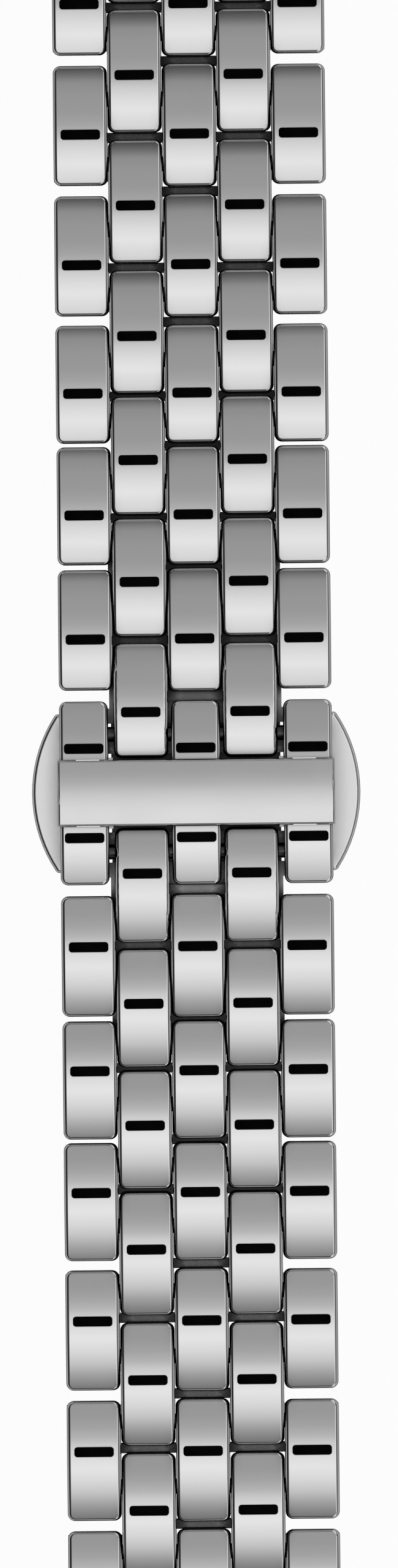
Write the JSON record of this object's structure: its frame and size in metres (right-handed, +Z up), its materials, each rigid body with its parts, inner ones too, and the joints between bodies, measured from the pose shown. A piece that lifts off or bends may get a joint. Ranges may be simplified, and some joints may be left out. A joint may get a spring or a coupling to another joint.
{
  "type": "five link watch bracelet",
  "caption": "Polished steel five-column link bracelet that folds at every row, closed by a butterfly clasp with a cover bar and two side push buttons",
  "frame": {"origin": "below the middle of the clasp, on the surface that the bracelet lies on", "axes": "X across the bracelet, Y along it, Z up out of its polished face"},
  "size_m": [0.0218, 0.127, 0.0059],
  "materials": {
    "polished_steel": "polished stainless steel",
    "satin_steel": "brushed stainless steel",
    "pin_steel": "turned stainless steel",
    "black_enamel": "black enamel bars on the heads"
  },
  "bodies": {
    "clasp_body": {"base_plate": "satin_steel", "base_hinge_pins": "pin_steel", "centre_housing": "satin_steel", "cover_bar": "polished_steel", "button_spring": "pin_steel"},
    "upper_blade": {"upper_blade": "satin_steel", "upper_blade_tip_pin": "pin_steel"},
    "upper_half_link": {"upper_half_link": "polished_steel", "upper_half_link_pin": "pin_steel"},
    "upper_two_head_link_1": {"upper_two_head_link_1": "polished_steel"},
    "upper_three_head_link_1": {"upper_three_head_link_1": "polished_steel", "upper_link_pins_1": "pin_steel"},
    "upper_two_head_link_2": {"upper_two_head_link_2": "polished_steel"},
    "upper_three_head_link_2": {"upper_three_head_link_2": "polished_steel", "upper_link_pins_2": "pin_steel"},
    "upper_two_head_link_3": {"upper_two_head_link_3": "polished_steel"},
    "upper_three_head_link_3": {"upper_three_head_link_3": "polished_steel", "upper_link_pins_3": "pin_steel"},
    "upper_two_head_link_4": {"upper_two_head_link_4": "polished_steel"},
    "upper_three_head_link_4": {"upper_three_head_link_4": "polished_steel", "upper_link_pins_4": "pin_steel"},
    "upper_two_head_link_5": {"upper_two_head_link_5": "polished_steel"},
    "upper_three_head_link_5": {"upper_three_head_link_5": "polished_steel", "upper_link_pins_5": "pin_steel"},
    "upper_two_head_link_6": {"upper_two_head_link_6": "polished_steel"},
    "upper_three_head_link_6": {"upper_three_head_link_6": "polished_steel", "upper_link_pins_6": "pin_steel"},
    "upper_end_link": {"upper_end_link": "polished_steel", "upper_spring_bar_tube": "pin_steel"},
    "upper_spring_bar_left_tip": {"upper_spring_bar_left_tip": "pin_steel"},
    "upper_spring_bar_right_tip": {"upper_spring_bar_right_tip": "pin_steel"},
    "lower_blade": {"lower_blade": "satin_steel", "lower_blade_tip_pin": "pin_steel"},
    "lower_half_link": {"lower_half_link": "polished_steel", "lower_half_link_pin": "pin_steel"},
    "lower_two_head_link_1": {"lower_two_head_link_1": "polished_steel"},
    "lower_three_head_link_1": {"lower_three_head_link_1": "polished_steel", "lower_link_pins_1": "pin_steel"},
    "lower_two_head_link_2": {"lower_two_head_link_2": "polished_steel"},
    "lower_three_head_link_2": {"lower_three_head_link_2": "polished_steel", "lower_link_pins_2": "pin_steel"},
    "lower_two_head_link_3": {"lower_two_head_link_3": "polished_steel"},
    "lower_three_head_link_3": {"lower_three_head_link_3": "polished_steel", "lower_link_pins_3": "pin_steel"},
    "lower_two_head_link_4": {"lower_two_head_link_4": "polished_steel"},
    "lower_three_head_link_4": {"lower_three_head_link_4": "polished_steel", "lower_link_pins_4": "pin_steel"},
    "lower_two_head_link_5": {"lower_two_head_link_5": "polished_steel"},
    "lower_three_head_link_5": {"lower_three_head_link_5": "polished_steel", "lower_link_pins_5": "pin_steel"},
    "lower_two_head_link_6": {"lower_two_head_link_6": "polished_steel"},
    "lower_three_head_link_6": {"lower_three_head_link_6": "polished_steel", "lower_link_pins_6": "pin_steel"},
    "lower_end_link": {"lower_end_link": "polished_steel", "lower_spring_bar_tube": "pin_steel"},
    "lower_spring_bar_left_tip": {"lower_spring_bar_left_tip": "pin_steel"},
    "lower_spring_bar_right_tip": {"lower_spring_bar_right_tip": "pin_steel"},
    "left_push_button": {"left_push_button": "polished_steel"},
    "right_push_button": {"right_push_button": "polished_steel"}
  },
  "joints": [
    {"name": "upper_blade_hinge", "type": "hinge", "parent": "clasp_body", "child": "upper_blade", "pos_m": [0, 0.0165, 0.0009], "axis": [-1, 0, 0], "range_deg": [0, 150]},
    {"name": "upper_half_link_hinge", "type": "hinge", "parent": "upper_blade", "child": "upper_half_link", "pos_m": [0, 0.0031, 0.00219], "axis": [1, 0, 0], "range_deg": [0, 150]},
    {"name": "upper_link_hinge_1", "type": "hinge", "parent": "upper_half_link", "child": "upper_two_head_link_1", "pos_m": [0, 0.00389, 0.00409], "axis": [-1, 0, 0], "range_deg": [-9.26, 1.2]},
    {"name": "upper_link_hinge_2", "type": "hinge", "parent": "upper_two_head_link_1", "child": "upper_three_head_link_1", "pos_m": [0, 0.00822, 0.00385], "axis": [-1, 0, 0], "range_deg": [-6, 1.8]},
    {"name": "upper_link_hinge_3", "type": "hinge", "parent": "upper_three_head_link_1", "child": "upper_two_head_link_2", "pos_m": [0, 0.01254, 0.0036], "axis": [-1, 0, 0], "range_deg": [-3, 4]},
    {"name": "upper_link_hinge_4", "type": "hinge", "parent": "upper_two_head_link_2", "child": "upper_three_head_link_2", "pos_m": [0, 0.01657, 0.00337], "axis": [-1, 0, 0], "range_deg": [-3, 14]},
    {"name": "upper_link_hinge_5", "type": "hinge", "parent": "upper_three_head_link_2", "child": "upper_two_head_link_3", "pos_m": [0, 0.0206, 0.00314], "axis": [-1, 0, 0], "range_deg": [-3, 14]},
    {"name": "upper_link_hinge_6", "type": "hinge", "parent": "upper_two_head_link_3", "child": "upper_three_head_link_3", "pos_m": [0, 0.02463, 0.00291], "axis": [-1, 0, 0], "range_deg": [-3, 14]},
    {"name": "upper_link_hinge_7", "type": "hinge", "parent": "upper_three_head_link_3", "child": "upper_two_head_link_4", "pos_m": [0, 0.02866, 0.00268], "axis": [-1, 0, 0], "range_deg": [-3, 14]},
    {"name": "upper_link_hinge_8", "type": "hinge", "parent": "upper_two_head_link_4", "child": "upper_three_head_link_4", "pos_m": [0, 0.03299, 0.00243], "axis": [-1, 0, 0], "range_deg": [-6, 14]},
    {"name": "upper_link_hinge_9", "type": "hinge", "parent": "upper_three_head_link_4", "child": "upper_two_head_link_5", "pos_m": [0, 0.03731, 0.00219], "axis": [-1, 0, 0], "range_deg": [-6, 14]},
    {"name": "upper_link_hinge_10", "type": "hinge", "parent": "upper_two_head_link_5", "child": "upper_three_head_link_5", "pos_m": [0, 0.04164, 0.00194], "axis": [-1, 0, 0], "range_deg": [-6, 14]},
    {"name": "upper_link_hinge_11", "type": "hinge", "parent": "upper_three_head_link_5", "child": "upper_two_head_link_6", "pos_m": [0, 0.04597, 0.00169], "axis": [-1, 0, 0], "range_deg": [-6, 14]},
    {"name": "upper_link_hinge_12", "type": "hinge", "parent": "upper_two_head_link_6", "child": "upper_three_head_link_6", "pos_m": [0, 0.0503, 0.00145], "axis": [-1, 0, 0], "range_deg": [-6, 14]},
    {"name": "upper_link_hinge_13", "type": "hinge", "parent": "upper_three_head_link_6", "child": "upper_end_link", "pos_m": [0, 0.05463, 0.0012], "axis": [-1, 0, 0], "range_deg": [-2.74, 17.26]},
    {"name": "upper_left_tip_slide", "type": "slide", "parent": "upper_end_link", "child": "upper_spring_bar_left_tip", "axis": [1, 0, 0], "range_m": [0, 0.0008], "stiffness_N_per_m": 1000, "springref_m": -0.001},
    {"name": "upper_right_tip_slide", "type": "slide", "parent": "upper_end_link", "child": "upper_spring_bar_right_tip", "axis": [-1, 0, 0], "range_m": [0, 0.0008], "stiffness_N_per_m": 1000, "springref_m": -0.001},
    {"name": "lower_blade_hinge", "type": "hinge", "parent": "clasp_body", "child": "lower_blade", "pos_m": [0, -0.0165, 0.0009], "axis": [1, 0, 0], "range_deg": [0, 150]},
    {"name": "lower_half_link_hinge", "type": "hinge", "parent": "lower_blade", "child": "lower_half_link", "pos_m": [0, -0.0031, 0.00219], "axis": [-1, 0, 0], "range_deg": [0, 150]},
    {"name": "lower_link_hinge_1", "type": "hinge", "parent": "lower_half_link", "child": "lower_two_head_link_1", "pos_m": [0, -0.00389, 0.00409], "axis": [1, 0, 0], "range_deg": [-9.26, 1.2]},
    {"name": "lower_link_hinge_2", "type": "hinge", "parent": "lower_two_head_link_1", "child": "lower_three_head_link_1", "pos_m": [0, -0.00822, 0.00385], "axis": [1, 0, 0], "range_deg": [-6, 1.8]},
    {"name": "lower_link_hinge_3", "type": "hinge", "parent": "lower_three_head_link_1", "child": "lower_two_head_link_2", "pos_m": [0, -0.01254, 0.0036], "axis": [1, 0, 0], "range_deg": [-3, 4]},
    {"name": "lower_link_hinge_4", "type": "hinge", "parent": "lower_two_head_link_2", "child": "lower_three_head_link_2", "pos_m": [0, -0.01657, 0.00337], "axis": [1, 0, 0], "range_deg": [-3, 14]},
    {"name": "lower_link_hinge_5", "type": "hinge", "parent": "lower_three_head_link_2", "child": "lower_two_head_link_3", "pos_m": [0, -0.0206, 0.00314], "axis": [1, 0, 0], "range_deg": [-3, 14]},
    {"name": "lower_link_hinge_6", "type": "hinge", "parent": "lower_two_head_link_3", "child": "lower_three_head_link_3", "pos_m": [0, -0.02463, 0.00291], "axis": [1, 0, 0], "range_deg": [-3, 14]},
    {"name": "lower_link_hinge_7", "type": "hinge", "parent": "lower_three_head_link_3", "child": "lower_two_head_link_4", "pos_m": [0, -0.02866, 0.00268], "axis": [1, 0, 0], "range_deg": [-3, 14]},
    {"name": "lower_link_hinge_8", "type": "hinge", "parent": "lower_two_head_link_4", "child": "lower_three_head_link_4", "pos_m": [0, -0.03299, 0.00243], "axis": [1, 0, 0], "range_deg": [-6, 14]},
    {"name": "lower_link_hinge_9", "type": "hinge", "parent": "lower_three_head_link_4", "child": "lower_two_head_link_5", "pos_m": [0, -0.03731, 0.00219], "axis": [1, 0, 0], "range_deg": [-6, 14]},
    {"name": "lower_link_hinge_10", "type": "hinge", "parent": "lower_two_head_link_5", "child": "lower_three_head_link_5", "pos_m": [0, -0.04164, 0.00194], "axis": [1, 0, 0], "range_deg": [-6, 14]},
    {"name": "lower_link_hinge_11", "type": "hinge", "parent": "lower_three_head_link_5", "child": "lower_two_head_link_6", "pos_m": [0, -0.04597, 0.00169], "axis": [1, 0, 0], "range_deg": [-6, 14]},
    {"name": "lower_link_hinge_12", "type": "hinge", "parent": "lower_two_head_link_6", "child": "lower_three_head_link_6", "pos_m": [0, -0.0503, 0.00145], "axis": [1, 0, 0], "range_deg": [-6, 14]},
    {"name": "lower_link_hinge_13", "type": "hinge", "parent": "lower_three_head_link_6", "child": "lower_end_link", "pos_m": [0, -0.05463, 0.0012], "axis": [1, 0, 0], "range_deg": [-2.74, 17.26]},
    {"name": "lower_left_tip_slide", "type": "slide", "parent": "lower_end_link", "child": "lower_spring_bar_left_tip", "axis": [1, 0, 0], "range_m": [0, 0.0008], "stiffness_N_per_m": 1000, "springref_m": -0.001},
    {"name": "lower_right_tip_slide", "type": "slide", "parent": "lower_end_link", "child": "lower_spring_bar_right_tip", "axis": [-1, 0, 0], "range_m": [0, 0.0008], "stiffness_N_per_m": 1000, "springref_m": -0.001},
    {"name": "left_push_button_slide", "type": "slide", "parent": "clasp_body", "child": "left_push_button", "axis": [1, 0, 0], "range_m": [0, 0.0005], "stiffness_N_per_m": 1000, "springref_m": -0.001},
    {"name": "right_push_button_slide", "type": "slide", "parent": "clasp_body", "child": "right_push_button", "axis": [-1, 0, 0], "range_m": [0, 0.0005], "stiffness_N_per_m": 1000, "springref_m": -0.001}
  ],
  "couplings": [
    {"joint": "upper_half_link_hinge", "follows": "upper_blade_hinge", "ratio": 1},
    {"joint": "lower_half_link_hinge", "follows": "lower_blade_hinge", "ratio": 1}
  ]
}
